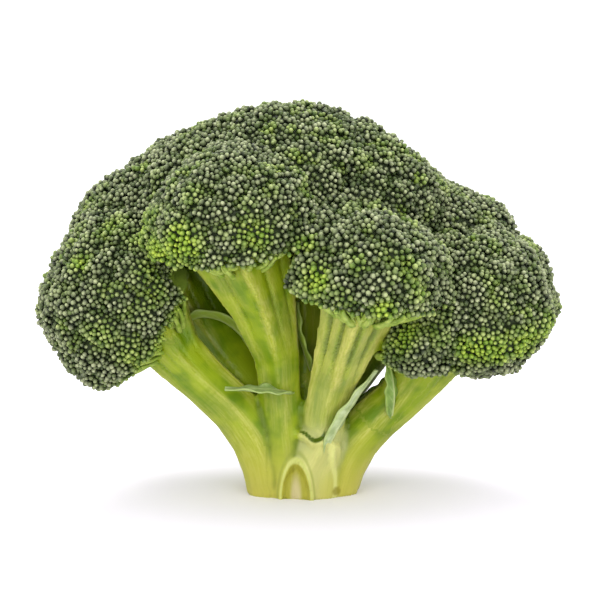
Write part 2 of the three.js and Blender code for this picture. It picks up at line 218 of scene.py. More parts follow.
# The torn edge where the leaf stalk on the stub broke off.
TORN_EDGE = [
    (-1.6, -15.6, 20.8),
    (1, -16.8, 20.2),
    (3.7, -18.5, 18.2),
    (6.3, -19.6, 19),
    (12.2, -15.6, 16.4),
]
TORN_EDGE_RADIUS = 1.0
# The deep green line of shade over the torn edge, which runs up along the leaf beside it.
TORN_SHADE = [
    (-0.6, -16, 21.8),
    (1, -16.8, 21.3),
    (3.7, -18.5, 19.4),
    (6.3, -19.6, 20.4),
    (7.4, -19.9, 23),
]
TORN_SHADE_RADIUS = 0.75
# The pale seam where the skin of the stub ends, and the small bruise at its foot.
SEAM = [(9.2, -18, 18), (9.6, -17.1, 14), (9.9, -13.9, 8.5), (10, -12.9, 3), (10, -12.7, -1)]
SEAM_RADIUS = 0.75
SEAM_FADE = 0.7
EDGE_STEPS, SHADE_STEPS = 24, 60  # points along a raised edge, and along a line of colour
BRUISE = (10.8, -12.4, 2.2)
BRUISE_RADIUS = 2.1
# The arched scar on the front of the foot: its middle line, half its width and its height.
SCAR = (-1.9, 4.9, 12.6)
SCAR_DEPTH = 0.8
SCAR_FRONT = (9, 12)  # how far in front of the middle of the stem the scar begins, and is full
PITH_RADIUS, RING_RADIUS = 9, 12  # where the pale pith of the cut ends, and its green ring is full
FORKS = 7  # stalks that each branch splits into under its floret
FORK_RADIUS = 3.1
FORK_TAPER = (1.1, 0.75)  # a stalk's radius at its root and at its floret, over the usual one
FORK_ROOT = 3.2  # how far from the middle of the branch a stalk starts
FORK_LEVELS = (29, 35)  # the steps of the branch's line between which a stalk starts
FORK_REACH = (0.45, 0.62)  # how far out a stalk ends, over its floret's radius
FORK_DEPTH = 0.9  # how far down it ends, over the underside's depth
FORK_STEPS = 12
FORK_TURN = 0.2  # how far a stalk may stand from its place, over the room that it has
# Furrows round the top of a branch, between the stalks that it splits into.
FURROWS = 11
FURROW_DEPTHS = {"floret_front_right": 1.3, "stub": 0}
OTHER_FURROW_DEPTH = 0.5
FURROW_WIDTH = 0.4
FURROW_START, FURROW_FULL = 0.68, 0.88  # how far up its branch, over its length
STEM_GRID = 0.92  # size of the faces that the stem is made of
CUT_SNAP = 0.4  # what lies lower than this is laid flat on the cut
GRAIN_SHARE = 0.1  # width of a fibre over its length
BRANCH_SHIFT = 40  # moves each branch to fibres of its own
BRANCH_BLEND = 0.8  # how softly the paleness of one branch runs into the next one's
RIDGE_HEIGHT = 0.3  # how far a point stands out or in where it counts as a full ridge or furrow

# The leaves, as the solids have them: midrib, width, way the upper face looks, cup and wave.
LEAVES = {
    "leaf_front_low": {
        "rib": [(6.8, -17.4, 15), (11, -19.4, 23.5), (16.8, -20.2, 33), (23.5, -21, 42)],
        "width": 6.5,
        "faces": (-0.75, 0.45, 0.5),
        "cup": 0.9,
        "wave": 0.35,
    },
    "leaf_front_cross": {
        "rib": [(-3, -16, 34), (-8, -21, 35.4), (-15, -23, 36.2), (-24, -22, 36)],
        "width": 6.5,
        "faces": (0, -0.25, 1),
        "cup": 0.7,
        "wave": 0.45,
    },
    "leaf_middle": {
        "rib": [(3, -7, 40), (0.5, -12, 48), (-1.5, -15, 55), (-1.5, -17, 63)],
        "width": 5.5,
        "faces": (0.95, 0.2, 0.3),
        "cup": 0.9,
        "wave": 0.3,
    },
    "leaf_left_inner": {
        "rib": [(-15, 0, 46), (-23, -1, 54), (-31, -3, 57), (-38.5, -4, 55)],
        "width": 7,
        "faces": (0.25, 0.5, 0.9),
        "cup": 1.1,
        "wave": 0.4,
    },
    "leaf_right": {
        "rib": [(28, -14, 26), (28.5, -19, 33), (28, -20.5, 39), (26.5, -20, 46)],
        "width": 6,
        "faces": (-0.8, 0.6, 0.1),
        "cup": 0.8,
        "wave": 0.3,
    },
    "leaf_right_inner": {
        "rib": [(15, 3, 26), (20, -1, 30.5), (25, -3, 34), (30, -4, 39)],
        "width": 5,
        "faces": (-0.5, -0.2, 0.9),
        "cup": 0.8,
        "wave": 0.3,
    },
}
LEAF_TIP_WIDTH = 0.9
LEAF_SPANS, LEAF_COLUMNS = 56, 19  # points along a blade, and across it
VEIN_WIDTH = 0.4
# Half a blade's thickness at its edge, and what its middle, its midrib and its side veins add.
BLADE_EDGE, BLADE_BODY, BLADE_RIB, BLADE_VEIN = 0.2, 0.12, 0.35, 0.06
# How whitish and how yellow each leaf is.
LEAF_TINTS = {
    "leaf_front_low": (0.9, 0.0),
    "leaf_front_cross": (0.55, 0.1),
    "leaf_middle": (0.3, 0.8),
    "leaf_left_inner": (0.1, 0.9),
    "leaf_right": (0.0, 0.1),
    "leaf_right_inner": (0.2, 0.4),
}

LIGHT_DEPTH = 2  # how deep light sinks into the flesh
# The size of each pattern in the materials, from one speck, blotch or streak to the next.
CORE_SPECKS = 2.857
STALK_SPECKS = 3.846
FLESH_BLOTCHES = 11.11
LEAF_CLOUDS = 2.381
FLESH_STREAKS = 4.545
# Real fibres are some 0.2 wide, too fine for the picture's 0.32 a pixel, so they are drawn coarser.
FLESH_FIBRES = 0.625


def unit(vectors):
    return vectors / np.linalg.norm(vectors, axis=-1, keepdims=True)


def smooth_step(x, start, end):
    t = np.clip((x - start) / (end - start), 0, 1)
    return t * t * (3 - 2 * t)


def new_mesh(name, points, faces, attributes=None, edges=()):
    """A mesh object from points in millimetres, with a number at each point for each attribute."""
    mesh = bpy.data.meshes.new(name)
    mesh.from_pydata((np.asarray(points) * MM).tolist(), list(edges), faces)
    for key, values in (attributes or {}).items():
        set_field(mesh, key, values)
    mesh.polygons.foreach_set("use_smooth", [True] * len(mesh.polygons))
    mesh.update()
    item = bpy.data.objects.new(name, mesh)
    bpy.context.scene.collection.objects.link(item)
    return item


def points_of(mesh):
    flat = np.empty(len(mesh.vertices) * 3, np.float32)
    mesh.vertices.foreach_get("co", flat)
    return flat.reshape(-1, 3).astype(float) / MM


def normals_of(mesh):
    flat = np.empty(len(mesh.vertices) * 3, np.float32)
    mesh.vertex_normals.foreach_get("vector", flat)
    return flat.reshape(-1, 3).astype(float)


def unit_sphere(levels):
    """The points and triangles of a round ball of small triangles."""
    ball = bmesh.new()
    bmesh.ops.create_icosphere(ball, subdivisions=levels, radius=1)
    points = np.array([v.co for v in ball.verts])
    faces = [[v.index for v in face.verts] for face in ball.faces]
    ball.free()
    return unit(points), faces


def golden_turn(number):
    """The angle of a leaf, bud or stalk that grows after so many others, a golden angle each."""
    return number * math.pi * (3 - math.sqrt(5))


def spiral(count):
    """Directions spread evenly over a sphere."""
    i = np.arange(count)
    cos = 1 - (2 * i + 1) / count
    sin = np.sqrt(1 - cos**2)
    angle = golden_turn(i)
    return np.stack([sin * np.cos(angle), sin * np.sin(angle), cos], 1)


# The florets.


def axis_of(name):
    return unit(np.array(FACES.get(name, np.array(FLORETS[name][0]) - FORK)))


def beyond_dome(name, points):
    """How far points lie outside a floret's own dome, with its flattened top drawn up to round."""
    at, radius, _ = FLORETS[name]
    offset = points - np.array(at)
    top = offset @ axis_of(name)
    return np.sqrt((offset**2).sum(1) + (DOME_RISE**-2 - 1) * top**2) - radius


def dome_of(name, ways):
    """How far a floret's dome, its flat side towards a neighbour and its underside are along each way
    from its centre."""
    at, radius, under = np.array(FLORETS[name][0], float), FLORETS[name][1], FLORETS[name][2]
    top = ways @ axis_of(name)
    dome = radius / np.sqrt(1 - top**2 + (top / DOME_RISE) ** 2)
    for _ in range(MERGE_STEPS):
        points = at + ways * dome[:, None]
        dome = dome + MERGE * np.log(sum(np.exp(-beyond_dome(other, points) / MERGE) for other in FLORETS))
    wave = ways * LUMP_WAVES + at
    lumps = np.sin(wave[:, 0]) * np.sin(wave[:, 1]) + 0.7 * np.sin(wave[:, 2] - 3 * ways[:, 0])
    dome = dome + LUMP_HEIGHT * lumps
    beside = np.full(len(ways), FAR)
    for other, (other_at, other_radius, _) in FLORETS.items():
        if other != name:
            apart = np.linalg.norm(np.array(other_at) - at)
            distance = (apart**2 + radius**2 - other_radius**2) / (2 * apart) - NEIGHBOUR_GAP
            slope = ways @ ((np.array(other_at) - at) / apart)
            side = np.where(slope > FLAT, distance / np.maximum(slope, FLAT), FAR)
            beside = np.minimum(beside, side)
    below = np.where(top < -FLAT, under * radius / np.maximum(-top, FLAT), FAR)
    return dome, beside, below


def deep_inside(name, points):
    """Which points lie well inside one of a floret's neighbours."""
    inside = np.zeros(len(points), bool)
    for other, (at, radius, under) in FLORETS.items():
        if other != name:
            drop = (np.array(at) - points) @ axis_of(other)
            inside |= (beyond_dome(other, points) < -HIDDEN_DEPTH) & (drop < under * radius)
    return inside


def blend_min(a, b, softness):
    """The smaller of two lengths, with a rounded change from one to the other."""
    near = np.minimum(a, b)
    return near - softness * np.log(np.exp((near - a) / softness) + np.exp((near - b) / softness))


def bulges(ways, radius, pitch, furrow, draw):
    """Rounded clumps of about one pitch across: 0 in the furrows between them and 1 on top, and
    a random number for each clump."""
    count = int(4 * math.pi * radius**2 / (ROW_SHARE * pitch**2))
    middles = unit(spiral(count) + draw.normal(0, CLUSTER_STRAY * pitch / radius, (count, 3)))
    slopes = ways @ middles.T
    near = np.sort(-slopes, axis=1)[:, :2]
    first, second = radius * np.arccos(np.clip(-near, -1, 1)).T
    return 1 - np.exp(-(second - first) / furrow), draw.uniform(0, 1, count)[slopes.argmax(1)]


def youth(points, rim, luck):
    """How young and yellow the buds are: on the lower rims, in a few patches and in odd clumps."""
    young = np.maximum(RIM_YOUTH * rim, ODD_YOUTH * luck**5)
    for middle, radius, amount in YOUNG_PATCHES:
        away = np.linalg.norm(points - np.array(middle), axis=1)
        patch = 1 - smooth_step(away, PATCH_FULL * radius, PATCH_END * radius)
        young = np.maximum(young, amount * patch)
    return np.clip(young * (0.8 + 0.5 * luck), 0, 1)


def clumps_of(name, ways):
    """How far up a cluster and a knot of buds each direction meets a floret, and each knot's number."""
    draw = np.random.default_rng([SEED, list(FLORETS).index(name)])
    radius = FLORETS[name][1]
    clusters, _ = bulges(ways, radius, CLUSTER_PITCH, CLUSTER_FURROW, draw)
    return clusters, *bulges(ways, radius, KNOT_PITCH, KNOT_FURROW, draw)


def make_skin(name, ways, faces):
    """The skin that the buds of a floret sit on, with where they grow and how young they are."""
    at = FLORETS[name][0]
    dome, beside, below = dome_of(name, ways)
    clusters, knots, luck = clumps_of(name, ways)
    clumps = CLUSTER_HEIGHT * (clusters - RELIEF_REST) + KNOT_HEIGHT * (knots - RELIEF_REST)
    skin = blend_min(blend_min(dome, beside, CREASE) + clumps, below + 1.0, CREASE)
    height = np.minimum(skin, beside)
    points = np.array(at) + ways * height[:, None]
    cover = (below > RIM_SHARE * dome) & ~deep_inside(name, points)
    rim = 1 - smooth_step(below / dome, RIM_START, RIM_END)
    young = youth(points, rim, luck)
    # raised: how high on its clusters and knots a point lies; the buds' colour darkens low ones as painted
    # shade in the furrows.
    fields = {"cover": cover.astype(float), "young": young, "raised": clusters * np.sqrt(knots)}
    return new_mesh(name + "_skin", points, faces, fields)


def make_core(name, ways, faces):
    """The flesh under the buds of a floret, which follows their clusters; on top its dark colour is painted
    shade between the buds.
    """
    at = np.array(FLORETS[name][0])
    dome, beside, below = dome_of(name, ways)
    clusters, _, _ = clumps_of(name, ways)
    clumps = CLUSTER_HEIGHT * (clusters - RELIEF_REST) - KNOT_HEIGHT * RELIEF_REST
    skin = blend_min(blend_min(dome, beside, CREASE) + clumps, below, CREASE)
    points = at + ways * (skin - CORE_DEPTH)[:, None]
    under = 1 - smooth_step(below / dome, 0.8, 1.0)
    fields = {"young": under, "tip": 0 * under, "tone": 0 * under}
    return new_mesh(name + "_core", points, faces, fields)


def make_stalklets(name):
    """Lines for the thin stalks that fan out under a floret, from its branch to its rim."""
    at, radius, under = np.array(FLORETS[name][0], float), FLORETS[name][1], FLORETS[name][2]
    axis = axis_of(name)
    draw = np.random.default_rng([SEED, STALKLET_SEED, list(FLORETS).index(name)])
    side = unit(np.cross(axis, ASLANT))
    across = np.cross(axis, side)
    points, edges, radii = [], [], []
    count = STALKLETS.get(name, OTHER_STALKLETS)
    for i in range(count):
        angle = golden_turn(i) + draw.uniform(-STALKLET_TURN, STALKLET_TURN)
        reach = math.sqrt(0.12 + 0.84 * (i + 0.5) / count)
        out = side * math.cos(angle) + across * math.sin(angle)
        way = unit(out * reach - axis * under * 0.95)
        dome, beside, below = (x[0] for x in dome_of(name, way[None]))
        if beside < 0.8 * dome:
            continue
        end = at + way * (min(dome * 0.97, beside, below) - 0.2)
        end_out = (end - at) @ out
        start_out = min(0.8 * BRANCH_TOPS[name], 0.6 * end_out)
        start = at - axis * (under * radius + draw.uniform(*STALKLET_ROOTS)) + out * start_out
        middle = (start + end) / 2 + out * STALKLET_BOW * end_out - axis * 0.5
        middle += draw.normal(0, STALKLET_STRAY, 3)
        thick = STALKLET_RADIUS * draw.uniform(*STALKLET_GROWTH)
        first = len(points)
        for t in np.linspace(0, 1, STALKLET_STEPS):
            points.append((1 - t) ** 2 * start + 2 * t * (1 - t) * middle + t**2 * end)
            radii.append(thick * (1.6 - 0.8 * t) * MM)
        edges += [(first + k, first + k + 1) for k in range(STALKLET_STEPS - 1)]
    return new_mesh(name + "_stalklets", points, [], {"thickness": radii}, edges)


def make_bud():
    """One closed bud, pointing up, with its height from 0 to 1 in each point."""
    sides = BUD_SIDES
    points = [(0, 0, BUD_FOOT)]
    for k, (radius, height) in enumerate(BUD_RINGS):
        for j in range(sides):
            angle = 2 * math.pi * (j + 0.5 * (k % 2)) / sides
            points.append((radius * math.cos(angle), radius * math.sin(angle), height))
    points.append((0, 0, BUD_POINT))
    heights = [(point[2] - BUD_FOOT) / (BUD_POINT - BUD_FOOT) for point in points]
    faces = [[0, 1 + (j + 1) % sides, 1 + j] for j in range(sides)]
    for k in range(len(BUD_RINGS) - 1):
        low, high = 1 + k * sides, 1 + (k + 1) * sides
        for j in range(sides):
            a, b = low + j, low + (j + 1) % sides
            c, d = high + j, high + (j + 1) % sides
            faces += [[a, b, c], [b, d, c]] if k % 2 else [[a, b, d], [a, d, c]]
    last = 1 + (len(BUD_RINGS) - 1) * sides
    faces += [[last + j, last + (j + 1) % sides, len(points) - 1] for j in range(sides)]
    shape = np.array(points) * [1, 1, BUD_LENGTH]
    return new_mesh("bud", shape, faces, {"tip": heights})


# The stem and the leaves.


def smooth_line(points, count):
    """Points spread along a smooth line through the given ones."""
    points = np.array(points, float)
    run = np.vstack([2 * points[0] - points[1], points, 2 * points[-1] - points[-2]])
    spots = []
    for t in np.linspace(0, len(points) - 1, count):
        i = min(int(t), len(points) - 2)
        u = t - i
        a, b, c, d = run[i : i + 4]
        spots.append(b + 0.5 * u * (c - a + u * (2 * a - 5 * b + 4 * c - d + u * (3 * b - a - 3 * c + d))))
    return np.array(spots)


def frames(line):
    """The way that a line runs at each of its points, and two ways square to that."""
    ways = unit(np.gradient(line, axis=0))
    side = unit(np.cross(ways, [0.02, -1.0, 0.03]))
    return ways, side, np.cross(side, ways)


def tube(line, radii, sides=9):
    """The points and faces of a closed tube along a line."""
    _, side, out = frames(line)
    angles = np.linspace(0, 2 * math.pi, sides, endpoint=False)[None, :, None]
    ring = out[:, None] * np.cos(angles) + side[:, None] * np.sin(angles)
    points = (line[:, None] + np.asarray(radii)[:, None, None] * ring).reshape(-1, 3)
    faces = [list(range(sides)), list(range(len(points) - 1, len(points) - 1 - sides, -1))]
    for i in range(len(line) - 1):
        for j in range(sides):
            a, b = i * sides + j, i * sides + (j + 1) % sides
            faces.append([a, a + sides, b + sides, b])
    return points, faces


def branch_line(name):
    """The middle line of a branch, up from the cut into its floret."""
    at, radius, under = FLORETS[name]
    end = np.array(at) - axis_of(name) * BRANCH_END * under * radius
    return smooth_line([*BRANCHES[name], tuple(end)], BRANCH_STEPS)


def fork_lines(name):
    """The lines of the stalks that a branch splits into, out to the underside of its floret."""
    at, radius, under = np.array(FLORETS[name][0], float), FLORETS[name][1], FLORETS[name][2]
    draw = np.random.default_rng([SEED, FORK_SEED, list(FLORETS).index(name)])
    axis = axis_of(name)
    line = branch_line(name)
    ways, side, out = frames(line)
    lines = []
    for i in range(FORKS):
        angle = 2 * math.pi * (i + draw.uniform(-FORK_TURN, FORK_TURN)) / FORKS
        k = int(draw.uniform(*FORK_LEVELS))
        away = out[k] * math.cos(angle) + side[k] * math.sin(angle)
        level = unit(away - axis * (away @ axis))
        start = line[k] + away * FORK_ROOT
        finish = at - axis * under * radius * FORK_DEPTH + level * radius * draw.uniform(*FORK_REACH)
        span = np.linalg.norm(finish - start)
        first = start + ways[k] * 0.4 * span
        last = finish - unit(axis + 0.9 * level) * 0.35 * span
        t = np.linspace(0, 1, FORK_STEPS)[:, None]
        line_up = (1 - t) ** 3 * start + 3 * t * (1 - t) ** 2 * first
        lines.append(line_up + 3 * t**2 * (1 - t) * last + t**3 * finish)
    return lines


def make_stem():
    """The stem with the stalks that its branches split into, as one grown body."""
    trunk = bmesh.new()
    trunk.from_mesh(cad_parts["stem"].data)
    bmesh.ops.remove_doubles(trunk, verts=trunk.verts, dist=1e-6)
    points = [np.array([v.co for v in trunk.verts]) / MM]
    faces = [[v.index for v in face.verts] for face in trunk.faces]
    start = len(points[0])
    trunk.free()
    tubes = []
    for edge, radius in ((TORN_EDGE, TORN_EDGE_RADIUS), (SEAM, SEAM_RADIUS)):
        tubes.append(tube(smooth_line(edge, EDGE_STEPS), np.full(EDGE_STEPS, radius)))
    thinning = np.linspace(*FORK_TAPER, FORK_STEPS) * FORK_RADIUS
    for name in FLORETS:
        tubes += [tube(line, thinning) for line in fork_lines(name)]
    for more, sides in tubes:
        points.append(more)
        faces += [[start + i for i in face] for face in sides]
        start += len(more)
    rough = new_mesh("stem_rough", np.vstack(points), faces)
    grid = rough.modifiers.new("grid", "REMESH")
    grid.mode = "VOXEL"
    grid.voxel_size = STEM_GRID * MM
    soft = rough.modifiers.new("soft", "SMOOTH")
    soft.factor = 0.5
    soft.iterations = 5
    stem = finished_mesh(rough, "stem_flesh")
    drop(rough)
    fill_stem_fields(stem.data)
    return stem


def set_field(mesh, key, values):
    """Stores a number or a vector at each point of a mesh."""
    kind, entry = ("FLOAT_VECTOR", "vector") if np.ndim(values) == 2 else ("FLOAT", "value")
    layer = mesh.attributes.new(key, kind, "POINT")
    layer.data.foreach_set(entry, np.ascontiguousarray(values, np.float32).ravel())


def evened(mesh, values, times):
    """Values at the points of a mesh, averaged with those of the points beside them."""
    pairs = np.empty(len(mesh.edges) * 2, np.int32)
    mesh.edges.foreach_get("vertices", pairs)
    pairs = pairs.reshape(-1, 2)
    for _ in range(times):
        total = values.copy()
        count = np.ones(len(values))
        for a, b in ((0, 1), (1, 0)):
            np.add.at(total, pairs[:, a], values[pairs[:, b]])
            np.add.at(count, pairs[:, a], 1)
        values = total / count[:, None]
    return values


def follow_branches(points):
    """How the fibres run at each point of the stem, how pale the flesh is, and how far a furrow takes
    the point inwards."""
    lines = {name: branch_line(name) for name in BRANCHES}
    lines["stub"] = smooth_line(STUB, STUB_STEPS)
    nearest = np.full(len(points), FAR)
    grain = np.zeros((len(points), 3))
    push = np.zeros((len(points), 3))
    paleness = np.zeros(len(points))
    weight = np.zeros(len(points))
    for number, (name, line) in enumerate(lines.items()):
        _, side, out = frames(line)
        length = np.concatenate([[0], np.cumsum(np.linalg.norm(np.diff(line, axis=0), axis=1))])
        away = np.linalg.norm(points[:, None] - line[None], axis=2)
        k = away.argmin(1)
        away = away.min(1) - (STUB_LEAD if name == "stub" else 0)
        offset = points - line[k]
        along = np.einsum("ij,ij->i", offset, np.cross(out[k], side[k]))
        outward = np.einsum("ij,ij->i", offset, out[k])
        sideways = np.einsum("ij,ij->i", offset, side[k])
        rise = (length[k] - along) * GRAIN_SHARE
        here = np.stack([outward + BRANCH_SHIFT * number, sideways, rise], 1)
        around = np.arctan2(sideways, outward) + 0.4 * np.sin(3 * k / len(line) + number)
        furrow = np.exp(-((np.sin(FURROWS * around / 2) / FURROW_WIDTH) ** 2))
        furrow = furrow * smooth_step(k / len(line), FURROW_START, FURROW_FULL)
        depth = FURROW_DEPTHS.get(name, OTHER_FURROW_DEPTH) * furrow
        inward = -(outward[:, None] * out[k] + sideways[:, None] * side[k])
        closer = away < nearest
        grain[closer] = here[closer]
        push[closer] = (unit(inward + 1e-9) * depth[:, None])[closer]
        nearest = np.minimum(nearest, away)
        share = np.exp(-away / BRANCH_BLEND)
        paleness += share * PALE_BRANCHES.get(name, OTHER_PALENESS)
        weight += share
    return grain, paleness / weight, push


def fill_stem_fields(mesh):
    """Shapes the cut, the scar and the furrows, and notes at each point how the fibres run, how pale
    the flesh is, where it is ridged, and where the painted line of shade over the torn edge, the seam
    and the bruise are."""
    points = points_of(mesh)
    points[points[:, 2] < CUT_SNAP, 2] = 0
    middle, half_width, height = SCAR
    scar = np.hypot((points[:, 0] - middle) / half_width, points[:, 2] / height)
    in_front = smooth_step(-points[:, 1], *SCAR_FRONT)
    points[:, 1] += SCAR_DEPTH * in_front * (1 - smooth_step(scar, 0.72, 0.9))
    grain, pale, push = follow_branches(points)
    points += push
    mesh.vertices.foreach_set("co", (points * MM).astype(np.float32).ravel())
    mesh.update()

    # The torn edge's shade thins out at both ends.
    shade = smooth_line(TORN_SHADE, SHADE_STEPS)
    away = np.linalg.norm((points[:, None] - shade[None]) * [1, 0.3, 1], axis=2)
    thin = TORN_SHADE_RADIUS * np.sin(np.linspace(0.35, 2.6, len(shade)))
    set_field(mesh, "torn_edge_shade", np.exp(-((away / thin) ** 2)).max(1))
    away = np.linalg.norm(points[:, None] - smooth_line(SEAM, SHADE_STEPS)[None], axis=2).min(1)
    set_field(mesh, "seam", 1 - smooth_step(away, SEAM_RADIUS, SEAM_RADIUS + SEAM_FADE))
    away = np.linalg.norm((points - BRUISE) * [1, 0.5, 1], axis=1)
    set_field(mesh, "bruise", 1 - smooth_step(away, 0.4 * BRUISE_RADIUS, BRUISE_RADIUS))

    # A point that lies under the level of those around it is in a furrow, and one above it on a ridge.
    level = evened(mesh, points, 4)
    hollow = np.einsum("ij,ij->i", level - points, normals_of(mesh))
    hollow = evened(mesh, hollow[:, None], 3)[:, 0]
    set_field(mesh, "grain", grain)
    set_field(mesh, "pale", pale)
    # The ridge field pales the flesh on ridges and darkens it in furrows as painted shade.
    set_field(mesh, "ridge", 0.5 - np.clip(hollow / RIDGE_HEIGHT, -0.5, 0.5))


def make_leaf(name):
    """A thin cupped blade with a thick midrib, side veins and a crimped edge."""
    leaf = LEAVES[name]
    line = smooth_line(leaf["rib"], LEAF_SPANS)
    ways = unit(np.gradient(line, axis=0))
    upper = np.array(leaf["faces"])
    up = unit(upper - ways * (ways @ upper)[:, None])
    side = np.cross(up, ways)
    share = np.linspace(0, 1, LEAF_SPANS)[:, None]
    across = np.linspace(-1, 1, LEAF_COLUMNS)[None]
    swell = np.sin(math.pi * share**0.8) ** 0.7
    half = (LEAF_TIP_WIDTH + (leaf["width"] - LEAF_TIP_WIDTH) * swell) / 2
    # The outline waves a little, the edge is crimped, and the blade is cupped and rolls.
    half = half * (1 + 0.09 * np.sin(31 * share + 2 * across) * across**2)
    crimp = 0.3 * np.sin(23 * share + 3 * across) * np.abs(across) ** 3
    height = leaf["cup"] * across**2 * np.sin(math.pi * share) + crimp
    height = height + leaf["wave"] * np.sin(2.6 * math.pi * share + across) * across**2
    # The midrib thins towards the tip, and side veins slant away from it.
    vein = np.exp(-((across * half / VEIN_WIDTH) ** 2)) * (1 - 0.7 * share)
    side_vein = np.clip(np.sin(34 * share - 9 * np.abs(across)), 0, 1) ** 6 * (1 - np.abs(across))
    veins = np.maximum(vein, 0.5 * side_vein)
    thick = BLADE_EDGE + BLADE_BODY * (1 - across**2) + BLADE_RIB * vein + BLADE_VEIN * side_vein
    middle = line[:, None] + side[:, None] * (half * across)[..., None] + up[:, None] * height[..., None]
    lift = up[:, None] * thick[..., None]
    points = np.concatenate([(middle + lift).reshape(-1, 3), (middle - lift).reshape(-1, 3)])
    faces = []
    under = LEAF_SPANS * LEAF_COLUMNS
    for i in range(LEAF_SPANS - 1):
        for j in range(LEAF_COLUMNS - 1):
            a = i * LEAF_COLUMNS + j
            b, c, d = a + LEAF_COLUMNS, a + LEAF_COLUMNS + 1, a + 1
            faces.append([a, b, c, d])
            faces.append([under + d, under + c, under + b, under + a])
    rim = [i * LEAF_COLUMNS for i in range(LEAF_SPANS)]
    rim += [under - LEAF_COLUMNS + j for j in range(1, LEAF_COLUMNS)]
    rim += [i * LEAF_COLUMNS + LEAF_COLUMNS - 1 for i in range(LEAF_SPANS - 2, -1, -1)]
    rim += [j for j in range(LEAF_COLUMNS - 2, 0, -1)]
    for a, b in zip(rim, rim[1:] + rim[:1]):
        faces.append([a, under + a, under + b, b])
    pale, fresh = (np.full(len(points), amount) for amount in LEAF_TINTS[name])
    edge = np.tile(np.abs(across + 0 * share).ravel(), 2)
    fields = {"pale": pale, "fresh": fresh, "vein": np.tile(veins.ravel(), 2), "edge": edge}
    return new_mesh(name + "_blade", points, faces, fields)


# The nodes that make the florets, and the materials.


def linear(code):
    """A colour in sRGB hex as linear red, green, blue and alpha."""
    parts = [int(code[i : i + 2], 16) / 255 for i in (1, 3, 5)]
    return [x / 12.92 if x <= 0.04045 else ((x + 0.055) / 1.055) ** 2.4 for x in parts] + [1.0]


# What a node that mixes two colours, or carries a value smoothly from one range to another, is set to.
COLOURED = {"out": 2, "data_type": "RGBA"}
SMOOTHLY = {"out": 0, "interpolation_type": "SMOOTHSTEP"}


def add(tree, kind, inputs=None, out=None, **settings):
    """A node with its settings, and with its inputs, by name or number, set to a value or to a colour
    in hex, or joined to an output. Gives the node, or the output that is asked for."""
    node = tree.nodes.new(kind)
    for key, value in settings.items():
        setattr(node, key, value)
    for key, value in (inputs or {}).items():
        if isinstance(value, bpy.types.NodeSocket):
            tree.links.new(value, node.inputs[key])
        else:
            node.inputs[key].default_value = linear(value) if str(value).startswith("#") else value
    return node if out is None else node.outputs[out]


